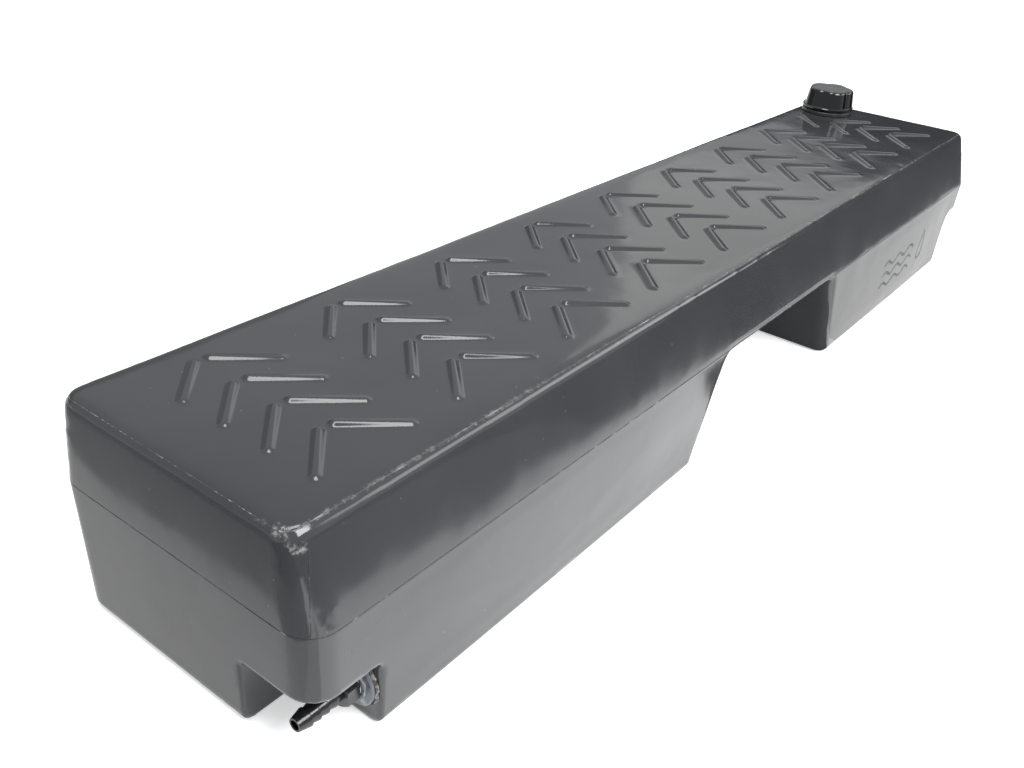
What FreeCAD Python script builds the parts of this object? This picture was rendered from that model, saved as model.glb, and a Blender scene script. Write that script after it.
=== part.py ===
import FreeCAD, Part

import math
import os

import Sketcher

# Fresh water tank that lies in a vehicle's rear footwell: a blow-moulded shell with two lobes joined over a
# tunnel, a screw filler cap on a welded neck, and a barbed hose tail in a welded outlet boss.
# Millimetres. +X runs along the tank from the outlet end to the filler end, +Y to the back, +Z up.
# The origin is at the middle of the tank's underside.

Vector = FreeCAD.Vector
Rotation = FreeCAD.Rotation

SIZES = {
    # shell, outside, at the parting line between the two mould halves
    "body_length": 1344,
    "body_width": 278,
    "body_height": 200,
    "parting_height": 122,
    "wall": 5,
    # top plane
    "top_near": 671,
    "top_far": 657,
    "top_half_width": 122.5,
    # underside
    "bottom_near": 668,
    "bottom_far": 666,
    "bottom_half_width": 136,
    # rounding
    "corner_parting": 26,
    "corner_far": 18,
    "corner_top": 17,
    "corner_bottom": 25,
    "top_round": 11,
    "bottom_round": 9,
    # tunnel between the lobes, clear through along Y
    "tunnel_roof": 116,
    "tunnel_near_roof": 109,
    "tunnel_near_floor": 149,
    "tunnel_far_roof": 150,
    "tunnel_far_floor": 192,
    "tunnel_corner": 15,
    "tunnel_round": 14,
    # step under the filler end
    "step_roof": 76,
    "step_top": 631,
    "step_floor": 628,
    "step_corner": 12,
    # notch in the near front bottom corner, where the outlet is
    "notch_wall": 607,
    "notch_side": 63,
    "notch_roof": 62.5,
    "notch_side_lean": 1,
    "notch_round": 6,
    "notch_edge": 3,
    # tread on the top: rows of chevrons, each of two straight raised ribs
    "tread_pitch_along": 139,
    "tread_pitch_across": 45,
    "tread_first_row": -572,
    "tread_first_column": 85,
    "rib_start": 6.9,
    "rib_run": 40.3,
    "rib_width": 9,
    "rib_height": 3.5,
    "rib_draft": 35,
    # fits between pieces, on the radius or the height
    "fit": 0.05,
    "press_fit": 0.1,
    "thread_sink": 0.3,
    # filler
    "filler_along": 596,
    "filler_across": 74,
    "neck_bore": 21,
    "neck_radius": 25,
    "neck_height": 24,
    "neck_depth": 11,
    "neck_hole": 25.3,
    "flange_radius": 37.5,
    "flange_height": 5,
    "flange_bevel": 1.5,
    "thread_pitch": 5,
    "thread_width": 1.8,
    "thread_low": 9.5,
    "neck_thread": 26.9,
    "cap_thread": 25.6,
    "cap_bore": 27.5,
    "cap_base": 6.5,
    "cap_rim": 38,
    "cap_rim_height": 4,
    "cap_rim_bevel": 1,
    "cap_ceiling": 26.5,
    "cap_top": 36,
    "lobe_radius": 24,
    "lobe_centre": 13.5,
    "cap_draft": 8,
    "valley_round": 4,
    "crown_round": 6,
    "seal_inner": 21.5,
    "seal_outer": 26.6,
    # vent in the cap
    "vent_radius": 9,
    "vent_depth": 4,
    "vent_wall": 1.4,
    "vent_bevel": 0.4,
    "vent_slot": 1.6,
    "vent_slot_reach": 2.5,
    "vent_slot_offset": 3.2,
    "vent_hole": 1.2,
    "vent_hole_circle": 4.2,
    "vent_stem": 1.8,
    "stem_bulb": 2.6,
    "stem_bulb_height": 1.4,
    "umbrella_radius": 7,
    "umbrella_edge": 0.6,
    "umbrella_middle": 1.4,
    "umbrella_recess": 2.2,
    "umbrella_margin": 1,
    # outlet
    "outlet_across": -113,
    "outlet_height": 34,
    "boss_radius": 20.5,
    "boss_thickness": 5,
    "boss_bevel": 1,
    "boss_collar": 14.5,
    "boss_collar_bevel": 0.5,
    "boss_collar_length": 2,
    "boss_spigot": 13,
    "boss_depth": 14,
    "boss_bore": 9.6,
    "outlet_hole": 13.3,
    "bead_radius": 22.2,
    "bead_height": 3,
    "bead_shoulder": 0.4,
    "bead_crest": 1.2,
    "tape_radius": 10.7,
    "tape_bevel": 0.2,
    "tape_length": 0.8,
    "hex_flats": 22,
    "hex_length": 12,
    "hex_bevel": 1.1,
    "hex_margin": 0.5,
    "tail_thread": 9.5,
    "tail_thread_length": 14,
    "tail_thread_bevel": 1,
    "tail_length": 38,
    "tail_bore": 4,
    "barb_radius": 7.6,
    "barb_root": 6.2,
    "barb_tip": 5.4,
    "barb_land": 0.8,
    "barb_foot": 0.6,
    "barb_pitch": 7.5,
    "barb_tip_length": 10,
}

doc = FreeCAD.newDocument("FreshWaterTank")

sheet = doc.addObject("Spreadsheet::Sheet", "Sizes")
for row, (alias, value) in enumerate(SIZES.items(), start=1):
    sheet.set(f"A{row}", alias)
    sheet.set(f"B{row}", str(value))
    sheet.setAlias(f"B{row}", alias)
doc.recompute()


# Sketches


def number(owner, expression):
    """The value that an expression over the sheet has now."""
    return float(owner.evalExpression(expression))


def new_body(name):
    body = doc.addObject("PartDesign::Body", name)
    body.Label = name
    return body


def origin_feature(body, role):
    """An origin plane or axis of a body, by its role."""
    return next(f for f in body.Origin.OriginFeatures if f.Role == role)


def new_sketch(body, name, plane="XY_Plane", offset="0"):
    """A sketch on one of the body's own origin planes, moved along the plane's normal by an expression."""
    sketch = body.newObject("Sketcher::SketchObject", name)
    sketch.AttachmentSupport = [(origin_feature(body, plane), "")]
    sketch.MapMode = "FlatFace"
    sketch.setExpression(".AttachmentOffset.Base.z", offset)
    return sketch


def bind(sketch, kind, *place, to):
    """A dimension of the sketch, bound to an expression."""
    index = sketch.addConstraint(Sketcher.Constraint(kind, *place, number(sketch, to)))
    sketch.setExpression(f"Constraints[{index}]", to)


def fix_start(sketch, edge, across, up):
    """Ties the start of an edge to the sketch's origin by two expressions."""
    bind(sketch, "DistanceX", -1, 1, edge, 1, to=across)
    bind(sketch, "DistanceY", -1, 1, edge, 1, to=up)


def polygon(sketch, corners):
    """A closed outline of straight edges; each corner is a pair of expressions."""
    points = [Vector(number(sketch, a), number(sketch, b), 0) for a, b in corners]
    count = len(points)
    first = sketch.GeometryCount
    for i in range(count):
        sketch.addGeometry(Part.LineSegment(points[i], points[(i + 1) % count]), False)
    for i in range(count):
        following = first + (i + 1) % count
        sketch.addConstraint(Sketcher.Constraint("Coincident", first + i, 2, following, 1))
    for i, (across, up) in enumerate(corners):
        fix_start(sketch, first + i, across, up)


def circle(sketch, across, up, radius):
    """A circle whose centre and radius are expressions."""
    centre = Vector(number(sketch, across), number(sketch, up), 0)
    edge = sketch.addGeometry(Part.Circle(centre, Vector(0, 0, 1), number(sketch, radius)), False)
    bind(sketch, "Radius", edge, to=radius)
    for kind, place in (("DistanceX", across), ("DistanceY", up)):
        if number(sketch, place):
            bind(sketch, kind, -1, 1, edge, 3, to=place)
        else:
            axis = -2 if kind == "DistanceX" else -1
            sketch.addConstraint(Sketcher.Constraint("PointOnObject", edge, 3, axis))


def rounded_rectangle(sketch, low_x, high_x, half_y, radii):
    """A rectangle with rounded corners, even about the X axis; radii are for the low and the high X end."""
    x0, x1 = number(sketch, low_x), number(sketch, high_x)
    y0, y1 = -number(sketch, half_y), number(sketch, half_y)
    near, far = (number(sketch, r) for r in radii)
    sides = (
        ((x0 + near, y0), (x1 - far, y0)),
        ((x1, y0 + far), (x1, y1 - far)),
        ((x1 - far, y1), (x0 + near, y1)),
        ((x0, y1 - near), (x0, y0 + near)),
    )
    for start, end in sides:
        sketch.addGeometry(Part.LineSegment(Vector(*start, 0), Vector(*end, 0)), False)
    corners = (
        (x1 - far, y0 + far, far),
        (x1 - far, y1 - far, far),
        (x0 + near, y1 - near, near),
        (x0 + near, y0 + near, near),
    )
    for i, (x, y, radius) in enumerate(corners):
        start = math.radians(90 * i - 90)
        round_corner = Part.Circle(Vector(x, y, 0), Vector(0, 0, 1), radius)
        arc = sketch.addGeometry(Part.ArcOfCircle(round_corner, start, start + math.pi / 2), False)
        sketch.addConstraint(Sketcher.Constraint("Tangent", i, 2, arc, 1))
        sketch.addConstraint(Sketcher.Constraint("Tangent", arc, 2, (i + 1) % 4, 1))
    for i, kind in enumerate(("Horizontal", "Vertical", "Horizontal", "Vertical")):
        sketch.addConstraint(Sketcher.Constraint(kind, i))
    bind(sketch, "DistanceY", -1, 1, 0, 1, to=f"-({half_y})")
    bind(sketch, "DistanceX", -1, 1, 1, 1, to=high_x)
    bind(sketch, "DistanceY", -1, 1, 2, 1, to=half_y)
    bind(sketch, "DistanceX", -1, 1, 3, 1, to=low_x)
    for arc, radius in zip((4, 5, 6, 7), (radii[1], radii[1], radii[0], radii[0])):
        bind(sketch, "Radius", arc, to=radius)


# Features


def loft(body, name, lower, upper):
    feature = body.newObject("PartDesign::AdditiveLoft", name)
    feature.Profile = lower
    feature.Sections = [upper]
    feature.Ruled = True
    doc.recompute()
    return feature


def pad(body, name, sketch, length, reverse=False, symmetric=False, taper="0"):
    feature = body.newObject("PartDesign::Pad", name)
    feature.Profile = sketch
    feature.SideType = "Symmetric" if symmetric else "One side"
    feature.Reversed = reverse
    feature.setExpression("Length", length)
    feature.setExpression("TaperAngle", taper)
    doc.recompute()
    return feature


def revolve(body, name, sketch, axis, kind="PartDesign::Revolution"):
    """A full turn of a sketch about an origin axis, added or, as a Groove, taken away."""
    feature = body.newObject(kind, name)
    feature.Profile = sketch
    feature.ReferenceAxis = (origin_feature(body, axis), [""])
    feature.Angle = 360
    doc.recompute()
    return feature


def pocket(body, name, sketch, length, reverse=False, symmetric=False):
    """A cut from the sketch's plane, checked to take material away."""
    before = body.Shape.Volume
    feature = body.newObject("PartDesign::Pocket", name)
    feature.Profile = sketch
    feature.SideType = "Symmetric" if symmetric else "One side"
    feature.Reversed = reverse
    feature.setExpression("Length", length)
    doc.recompute()
    if not body.Shape.Volume < before:
        raise RuntimeError(f"{name} cuts nothing")
    return feature


def middle_and_direction(edge):
    """An edge's middle point, and the unit vector from its start to its end."""
    start, end = edge.valueAt(edge.FirstParameter), edge.valueAt(edge.LastParameter)
    span = end - start
    direction = span.normalize() if span.Length > 1e-6 else Vector(0, 0, 0)
    return edge.valueAt((edge.FirstParameter + edge.LastParameter) / 2), direction


def round_edges(body, name, radius, test):
    """Rounds the edges of the body's tip whose middle point and direction pass the test."""
    chosen = [
        f"Edge{count}"
        for count, edge in enumerate(body.Shape.Edges, start=1)
        if edge.Length > 1e-3 and test(*middle_and_direction(edge))
    ]
    if not chosen:
        raise RuntimeError(f"{name} finds no edge")
    tip = body.Tip
    feature = body.newObject("PartDesign::Fillet", name)
    feature.Base = (tip, chosen)
    feature.setExpression("Radius", radius)
    doc.recompute()
    return feature


def close(a, b, within=0.5):
    return abs(a - b) < within


# Tank shell


def tank_form(name, inset):
    """The tank's form as a solid, with every wall moved in by an expression."""
    body = new_body(name)
    levels = {
        "Underside": (
            inset,
            f"-Sizes.bottom_near + ({inset})",
            f"Sizes.bottom_far - ({inset})",
            f"Sizes.bottom_half_width - ({inset})",
            f"Sizes.corner_bottom - ({inset})",
        ),
        "Parting": (
            "Sizes.parting_height",
            f"-Sizes.body_length / 2 + ({inset})",
            f"Sizes.body_length / 2 - ({inset})",
            f"Sizes.body_width / 2 - ({inset})",
            f"Sizes.corner_parting - ({inset})",
        ),
        "Top": (
            f"Sizes.body_height - ({inset})",
            f"-Sizes.top_near + ({inset})",
            f"Sizes.top_far - ({inset})",
            f"Sizes.top_half_width - ({inset})",
            f"Sizes.corner_top - ({inset})",
        ),
    }
    outlines = {}
    far_radius = f"Sizes.corner_far - ({inset})"
    for level, (up, low_x, high_x, half_y, near_radius) in levels.items():
        outlines[level] = new_sketch(body, f"{name}_{level}", offset=up)
        rounded_rectangle(outlines[level], low_x, high_x, half_y, (near_radius, far_radius))
    loft(body, f"{name}_LowerHalf", outlines["Underside"], outlines["Parting"])
    loft(body, f"{name}_UpperHalf", outlines["Parting"], outlines["Top"])

    tunnel = new_sketch(body, f"{name}_Tunnel", plane="XZ_Plane")
    polygon(
        tunnel,
        (
            (f"-Sizes.tunnel_near_floor - ({inset})", "-1"),
            (f"Sizes.tunnel_far_floor + ({inset})", "-1"),
            (f"Sizes.tunnel_far_roof + ({inset})", f"Sizes.tunnel_roof + ({inset})"),
            (f"-Sizes.tunnel_near_roof - ({inset})", f"Sizes.tunnel_roof + ({inset})"),
        ),
    )
    pocket(body, f"{name}_TunnelCut", tunnel, "2 * Sizes.body_width", symmetric=True)

    step = new_sketch(body, f"{name}_Step", plane="XZ_Plane")
    polygon(
        step,
        (
            (f"Sizes.step_floor - ({inset})", "-1"),
            ("Sizes.body_length", "-1"),
            ("Sizes.body_length", f"Sizes.step_roof + ({inset})"),
            (f"Sizes.step_top - ({inset})", f"Sizes.step_roof + ({inset})"),
        ),
    )
    pocket(body, f"{name}_StepCut", step, "2 * Sizes.body_width", symmetric=True)

    underside = number(body, inset)
    top = number(body, f"Sizes.body_height - ({inset})")
    side = number(body, f"Sizes.bottom_half_width - ({inset})") - 1
    near_end = -number(body, f"Sizes.bottom_near - ({inset})")
    tunnel_roof = number(body, f"Sizes.tunnel_roof + ({inset})")
    tunnel_low = -number(body, f"Sizes.tunnel_near_floor + ({inset})") - 1
    tunnel_high = number(body, f"Sizes.tunnel_far_floor + ({inset})") + 1
    step_roof = number(body, f"Sizes.step_roof + ({inset})")
    step_wall = number(body, f"Sizes.step_floor - ({inset})")
    notch_wall = -number(body, f"Sizes.notch_wall - ({inset})")
    notch_side = -number(body, f"Sizes.notch_side - ({inset})")
    notch_roof = number(body, f"Sizes.notch_roof + ({inset})")

    def inside_corner(middle, direction):
        """Where a wall of the tunnel or of the step meets its roof."""
        at_tunnel = close(middle.z, tunnel_roof) and abs(middle.x) < tunnel_high
        at_step = close(middle.z, step_roof) and close(middle.x, step_wall, 10)
        return abs(middle.y) < 1 and (at_tunnel or at_step)

    def tunnel_mouth(middle, direction):
        """Round each open end of the tunnel, from floor to floor."""
        inside = tunnel_low < middle.x < tunnel_high and underside + 1 < middle.z < tunnel_roof + 1
        return inside and abs(middle.y) > side

    def step_mouth(middle, direction):
        """Up the step's sides and round the lip above it."""
        on_side = abs(middle.y) > side and middle.x > step_wall - 7 and underside + 1 < middle.z < step_roof + 1
        return on_side or (close(middle.z, step_roof) and middle.x > step_wall + 30)

    def underside_edge(middle, direction):
        return close(middle.z, underside, 0.01)

    def top_edge(middle, direction):
        return close(middle.z, top, 0.01)

    for edges, radius, test in (
        ("InsideCorners", f"Sizes.tunnel_round + ({inset})", inside_corner),
        ("TunnelMouth", f"Sizes.tunnel_corner - ({inset})", tunnel_mouth),
        ("StepMouth", f"Sizes.step_corner - ({inset})", step_mouth),
        ("UndersideEdge", f"Sizes.bottom_round - ({inset})", underside_edge),
        ("TopEdge", f"Sizes.top_round - ({inset})", top_edge),
    ):
        round_edges(body, f"{name}_{edges}", radius, test)

    notch = new_sketch(body, f"{name}_Notch", plane="YZ_Plane", offset=f"-Sizes.notch_wall + ({inset})")
    polygon(
        notch,
        (
            ("-Sizes.body_width", "-1"),
            (f"-Sizes.notch_side + ({inset})", "-1"),
            (f"-Sizes.notch_side - Sizes.notch_side_lean + ({inset})", f"Sizes.notch_roof + ({inset})"),
            ("-Sizes.body_width", f"Sizes.notch_roof + ({inset})"),
        ),
    )
    pocket(body, f"{name}_NotchCut", notch, "Sizes.body_width")

    def notch_corner(middle, direction):
        """The three inside edges of the notch, which meet at its inner corner."""
        at_wall = close(middle.x, notch_wall)
        at_side = close(middle.y, notch_side, 5) and middle.x < notch_wall + 1
        at_roof = close(middle.z, notch_roof)
        return (at_wall and at_side and close(direction.z, 1, 0.2)) or (at_roof and (at_wall or at_side))

    def notch_mouth(middle, direction):
        """Round the notch's opening, over the front, the near end and the underside."""
        in_notch = middle.x < notch_wall + 1 and middle.y < notch_side + 1 and middle.z < notch_roof + 1
        outer = middle.y < -side + 11 or middle.x < near_end + 12
        return in_notch and (outer or close(middle.z, underside))

    round_edges(body, f"{name}_NotchCorner", f"Sizes.notch_round + ({inset})", notch_corner)
    round_edges(body, f"{name}_NotchMouth", "Sizes.notch_edge", notch_mouth)
    return body


def rib(sketch, start, end, radius):
    """A straight slot outline between two centres, each a pair of expressions."""
    centres = [Vector(number(sketch, a), number(sketch, b), 0) for a, b in (start, end)]
    reach = number(sketch, radius)
    along = (centres[1] - centres[0]).normalize()
    heading = math.atan2(along.y, along.x)
    first = sketch.GeometryCount
    for i, centre in enumerate(centres):
        opening = heading + math.pi / 2 + i * math.pi
        end_circle = Part.Circle(centre, Vector(0, 0, 1), reach)
        sketch.addGeometry(Part.ArcOfCircle(end_circle, opening, opening + math.pi), False)
    for i in (0, 1):
        leaving = sketch.Geometry[first + i].EndPoint
        reaching = sketch.Geometry[first + 1 - i].StartPoint
        sketch.addGeometry(Part.LineSegment(leaving, reaching), False)
    for i in (0, 1):
        sketch.addConstraint(Sketcher.Constraint("Tangent", first + i, 2, first + 2 + i, 1))
        sketch.addConstraint(Sketcher.Constraint("Tangent", first + 2 + i, 2, first + 1 - i, 1))
        bind(sketch, "Radius", first + i, to=radius)
    for i, (across, up) in enumerate((start, end)):
        bind(sketch, "DistanceX", -1, 1, first + i, 3, to=across)
        bind(sketch, "DistanceY", -1, 1, first + i, 3, to=up)


def tread_rib(body, row, column, side):
    """One raised rib of a chevron, on the far (+1) or near (-1) side of its apex."""
    name = f"Rib_{row}_{column}_{'far' if side > 0 else 'near'}"
    apex = f"Sizes.tread_first_row + {row} * Sizes.tread_pitch_along"
    level = f"Sizes.tread_first_column - {column} * Sizes.tread_pitch_across"
    sign = "+" if side > 0 else "-"
    start = (f"{apex} {sign} Sizes.rib_start", level)
    end = (f"{apex} {sign} (Sizes.rib_start + Sizes.rib_run)", f"{level} - Sizes.rib_run")
    sketch = new_sketch(body, f"{name}_Outline", offset="Sizes.body_height")
    rib(sketch, start, end, "Sizes.rib_width / 2")
    return pad(body, name, sketch, "Sizes.rib_height", taper="-Sizes.rib_draft")


def repeat(body, name, originals, rows, columns):
    """A grid of the originals: rows run along the tank, columns across it towards the front."""
    feature = body.newObject("PartDesign::LinearPattern", name)
    feature.Originals = originals
    feature.Mode = "Spacing"
    feature.Mode2 = "Extent"
    feature.Direction = (origin_feature(body, "X_Axis"), [""])
    feature.Direction2 = (origin_feature(body, "Y_Axis"), [""])
    feature.Reversed2 = True
    feature.setExpression("Offset", "Sizes.tread_pitch_along")
    feature.setExpression("Length2", f"{columns - 1} * Sizes.tread_pitch_across")
    feature.Occurrences = rows
    feature.Occurrences2 = columns
    body.Tip = feature
    doc.recompute()
    return feature


def add_tread(body):
    """Chevrons over the whole top.

    The last row's back chevron lacks the rib that the filler leaves no room for.
    """
    rows, columns = 9, 4
    full = [tread_rib(body, 0, 0, 1), tread_rib(body, 0, 0, -1)]
    repeat(body, "TreadRows", full, rows - 1, columns)
    last = [tread_rib(body, rows - 1, 1, 1), tread_rib(body, rows - 1, 1, -1)]
    repeat(body, "TreadLastRow", last, 1, columns - 1)
    tread_rib(body, rows - 1, 0, -1)


OUTWARD = Rotation(Vector(0, 1, 0), -90)


def place_at_filler(item):
    item.setExpression("Placement.Base.x", "Sizes.filler_along")
    item.setExpression("Placement.Base.y", "Sizes.filler_across")
    item.setExpression("Placement.Base.z", "Sizes.body_height")


def place_at_outlet(item):
    """Turns the item's own Z to point out of the notch's wall, along -X."""
    item.Placement = FreeCAD.Placement(Vector(0, 0, 0), OUTWARD)
    item.setExpression("Placement.Base.x", "-Sizes.notch_wall")
    item.setExpression("Placement.Base.y", "Sizes.outlet_across")
    item.setExpression("Placement.Base.z", "Sizes.outlet_height")


def wall_hole(name, radius, place):
    """A drill through one wall; the place function sets it on the wall's outer face."""
    drill = doc.addObject("Part::Cylinder", name)
    drill.setExpression("Radius", radius)
    drill.setExpression("Height", "4 * Sizes.wall")
    place(drill)
    return drill


def make_tank_shell():
    outside = tank_form("tank_outside", "0")
    add_tread(outside)
    inside = tank_form("tank_inside", "Sizes.wall")
    filler_hole = wall_hole("filler_hole", "Sizes.neck_hole", place_at_filler)
    filler_hole.setExpression("Placement.Base.z", "Sizes.body_height - 2 * Sizes.wall")
    outlet_hole = wall_hole("outlet_hole", "Sizes.outlet_hole", place_at_outlet)
    outlet_hole.setExpression("Placement.Base.x", "-Sizes.notch_wall + 2 * Sizes.wall")
    hollow = doc.addObject("Part::MultiFuse", "tank_hollow")
    hollow.Shapes = [inside, filler_hole, outlet_hole]
    shell = doc.addObject("Part::Cut", "tank_shell")
    shell.Base = outside
    shell.Tool = hollow
    doc.recompute()
    return shell


# Turned pieces


def turned(name, outline):
    """A body turned about its own Z; each corner is a pair of expressions, radius and height."""
    body = new_body(name)
    profile = new_sketch(body, f"{name}_Profile", plane="XZ_Plane")
    polygon(profile, outline)
    revolve(body, f"{name}_Turned", profile, "Z_Axis")
    return body


def helical_ridge(body, name, root, crest, low, rise):
    """A screw thread's ridge with a trapezoid section, from a height up over a rise."""
    profile = new_sketch(body, f"{name}_Section", plane="XZ_Plane")
    polygon(
        profile,
        (
            (root, f"{low} - Sizes.thread_width / 2"),
            (root, f"{low} + Sizes.thread_width / 2"),
            (crest, f"{low} + Sizes.thread_width / 4"),
            (crest, f"{low} - Sizes.thread_width / 4"),
        ),
    )
    feature = body.newObject("PartDesign::AdditiveHelix", name)
    feature.Profile = profile
    feature.ReferenceAxis = (origin_feature(body, "Z_Axis"), [""])
    feature.Mode = "pitch-height-angle"
    feature.setExpression("Pitch", "Sizes.thread_pitch")
    feature.setExpression("Height", rise)
    feature.Reversed = False
    doc.recompute()
    return feature


# Filler


def make_filler_neck():
    """Flange welded on the tank's top, and a threaded neck with a spigot through the tank's wall."""
    body = turned(
        "filler_neck",
        (
            ("Sizes.neck_bore", "-Sizes.neck_depth"),
            ("Sizes.neck_radius", "-Sizes.neck_depth"),
            ("Sizes.neck_radius", "0"),
            ("Sizes.flange_radius", "0"),
            ("Sizes.flange_radius", "Sizes.flange_height - Sizes.flange_bevel"),
            ("Sizes.flange_radius - Sizes.flange_bevel", "Sizes.flange_height"),
            ("Sizes.neck_radius", "Sizes.flange_height"),
            ("Sizes.neck_radius", "Sizes.neck_height"),
            ("Sizes.neck_bore", "Sizes.neck_height"),
        ),
    )
    helical_ridge(
        body,
        "filler_neck_Thread",
        "Sizes.neck_radius - Sizes.thread_sink",
        "Sizes.neck_thread",
        "Sizes.thread_low",
        "2 * Sizes.thread_pitch",
    )
    place_at_filler(body)
    return body


def lobed_outline(sketch, radius, valley):
    """Five round lobes about the axis, joined by concave valleys that meet them smoothly."""
    lobes = 5
    reach, offset, hollow = number(sketch, radius), number(sketch, "Sizes.lobe_centre"), number(sketch, valley)
    half = math.pi / lobes
    drop = offset * math.sin(half)
    out = offset * math.cos(half) + math.sqrt((reach + hollow) ** 2 - drop**2)
    lean = math.atan2(drop, out - offset * math.cos(half))
    upward = Vector(0, 0, 1)
    for i in range(lobes):
        turn = 2 * half * i
        spread = half + lean
        lobe = Part.Circle(Vector(offset * math.cos(turn), offset * math.sin(turn), 0), upward, reach)
        sketch.addGeometry(Part.ArcOfCircle(lobe, turn - spread, turn + spread), False)
    for i in range(lobes):
        turn = 2 * half * i + half
        groove = Part.Circle(Vector(out * math.cos(turn), out * math.sin(turn), 0), upward, hollow)
        back = turn + math.pi
        sketch.addGeometry(Part.ArcOfCircle(groove, back - lean, back + lean), False)
    for i in range(lobes):
        bind(sketch, "Radius", i, to=radius)
        bind(sketch, "Radius", lobes + i, to=valley)
        sketch.addConstraint(Sketcher.Constraint("Tangent", i, 2, lobes + i, 2))
        sketch.addConstraint(Sketcher.Constraint("Tangent", lobes + i, 1, (i + 1) % lobes, 1))
        if i:
            bind(sketch, "DistanceX", -1, 1, i, 3, to=f"Sizes.lobe_centre * cos({360 / lobes * i})")
            bind(sketch, "DistanceY", -1, 1, i, 3, to=f"Sizes.lobe_centre * sin({360 / lobes * i})")
        else:
            bind(sketch, "DistanceX", -1, 1, i, 3, to="Sizes.lobe_centre")
            sketch.addConstraint(Sketcher.Constraint("PointOnObject", i, 3, -1))


def make_filler_cap():
    body = new_body("filler_cap")
    foot = new_sketch(body, "filler_cap_Foot", offset="Sizes.cap_base")
    lobed_outline(foot, "Sizes.lobe_radius", "Sizes.valley_round")
    pad(body, "filler_cap_Grip", foot, "Sizes.cap_top - Sizes.cap_base", taper="-Sizes.cap_draft")

    def crown_edge(middle, direction):
        return close(middle.z, number(body, "Sizes.cap_top"), 0.01)

    round_edges(body, "filler_cap_CrownEdge", "Sizes.crown_round", crown_edge)
    rim = new_sketch(body, "filler_cap_RimProfile", plane="XZ_Plane")
    rim_top = "Sizes.cap_base + Sizes.cap_rim_height"
    polygon(
        rim,
        (
            ("Sizes.cap_bore", "Sizes.cap_base"),
            ("Sizes.cap_rim - Sizes.cap_rim_bevel", "Sizes.cap_base"),
            ("Sizes.cap_rim", "Sizes.cap_base + Sizes.cap_rim_bevel"),
            ("Sizes.cap_rim", f"{rim_top} - Sizes.cap_rim_bevel"),
            ("Sizes.cap_rim - Sizes.cap_rim_bevel", rim_top),
            ("Sizes.cap_bore", rim_top),
        ),
    )
    revolve(body, "filler_cap_Rim", rim, "Z_Axis")

    bore = new_sketch(body, "filler_cap_Bore", offset="Sizes.cap_base")
    circle(bore, "0", "0", "Sizes.cap_bore")
    pocket(body, "filler_cap_BoreCut", bore, "Sizes.cap_ceiling - Sizes.cap_base", reverse=True)
    recess = new_sketch(body, "filler_cap_Recess", offset="Sizes.cap_ceiling")
    circle(recess, "0", "0", "Sizes.umbrella_radius + Sizes.umbrella_margin")
    pocket(body, "filler_cap_RecessCut", recess, "Sizes.umbrella_recess", reverse=True)
    vent = new_sketch(body, "filler_cap_Vent", offset="Sizes.cap_top")
    circle(vent, "0", "0", "Sizes.vent_radius + Sizes.press_fit")
    pocket(body, "filler_cap_VentCut", vent, "Sizes.vent_depth")
    holes = new_sketch(body, "filler_cap_Holes", offset="Sizes.cap_ceiling")
    circle(holes, "0", "0", "Sizes.vent_stem + Sizes.press_fit")
    for reach in ("Sizes.vent_hole_circle", "-Sizes.vent_hole_circle"):
        circle(holes, reach, "0", "Sizes.vent_hole")
        circle(holes, "0", reach, "Sizes.vent_hole")
    pocket(body, "filler_cap_HolesCut", holes, "Sizes.cap_top - Sizes.cap_ceiling", reverse=True)
    helical_ridge(
        body,
        "filler_cap_Thread",
        "Sizes.cap_bore + Sizes.thread_sink",
        "Sizes.cap_thread",
        "Sizes.thread_low + Sizes.thread_pitch / 2",
        "1.5 * Sizes.thread_pitch",
    )
    place_at_filler(body)
    return body


def make_cap_seal():
    """Flat rubber ring between the top of the neck and the inside of the cap."""
    body = turned(
        "cap_seal",
        (
            ("Sizes.seal_inner", "Sizes.neck_height + Sizes.fit"),
            ("Sizes.seal_outer", "Sizes.neck_height + Sizes.fit"),
            ("Sizes.seal_outer", "Sizes.cap_ceiling - Sizes.fit"),
            ("Sizes.seal_inner", "Sizes.cap_ceiling - Sizes.fit"),
        ),
    )
    place_at_filler(body)
    return body


def make_vent_valve():
    """Umbrella valve: a thin disc under the vent holes, on a stem with a bulb that holds it in the cap."""
    roof = "Sizes.cap_ceiling + Sizes.umbrella_recess"
    floor = "Sizes.cap_top - Sizes.vent_depth"
    body = turned(
        "vent_valve",
        (
            ("0", f"{roof} - Sizes.umbrella_middle"),
            ("Sizes.umbrella_radius", f"{roof} - Sizes.umbrella_edge"),
            ("Sizes.umbrella_radius", roof),
            ("Sizes.vent_stem", roof),
            ("Sizes.vent_stem", floor),
            ("Sizes.stem_bulb", floor),
            ("Sizes.vent_stem", f"{floor} + Sizes.stem_bulb_height"),
            ("0", f"{floor} + Sizes.stem_bulb_height"),
        ),
    )
    place_at_filler(body)
    return body


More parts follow.
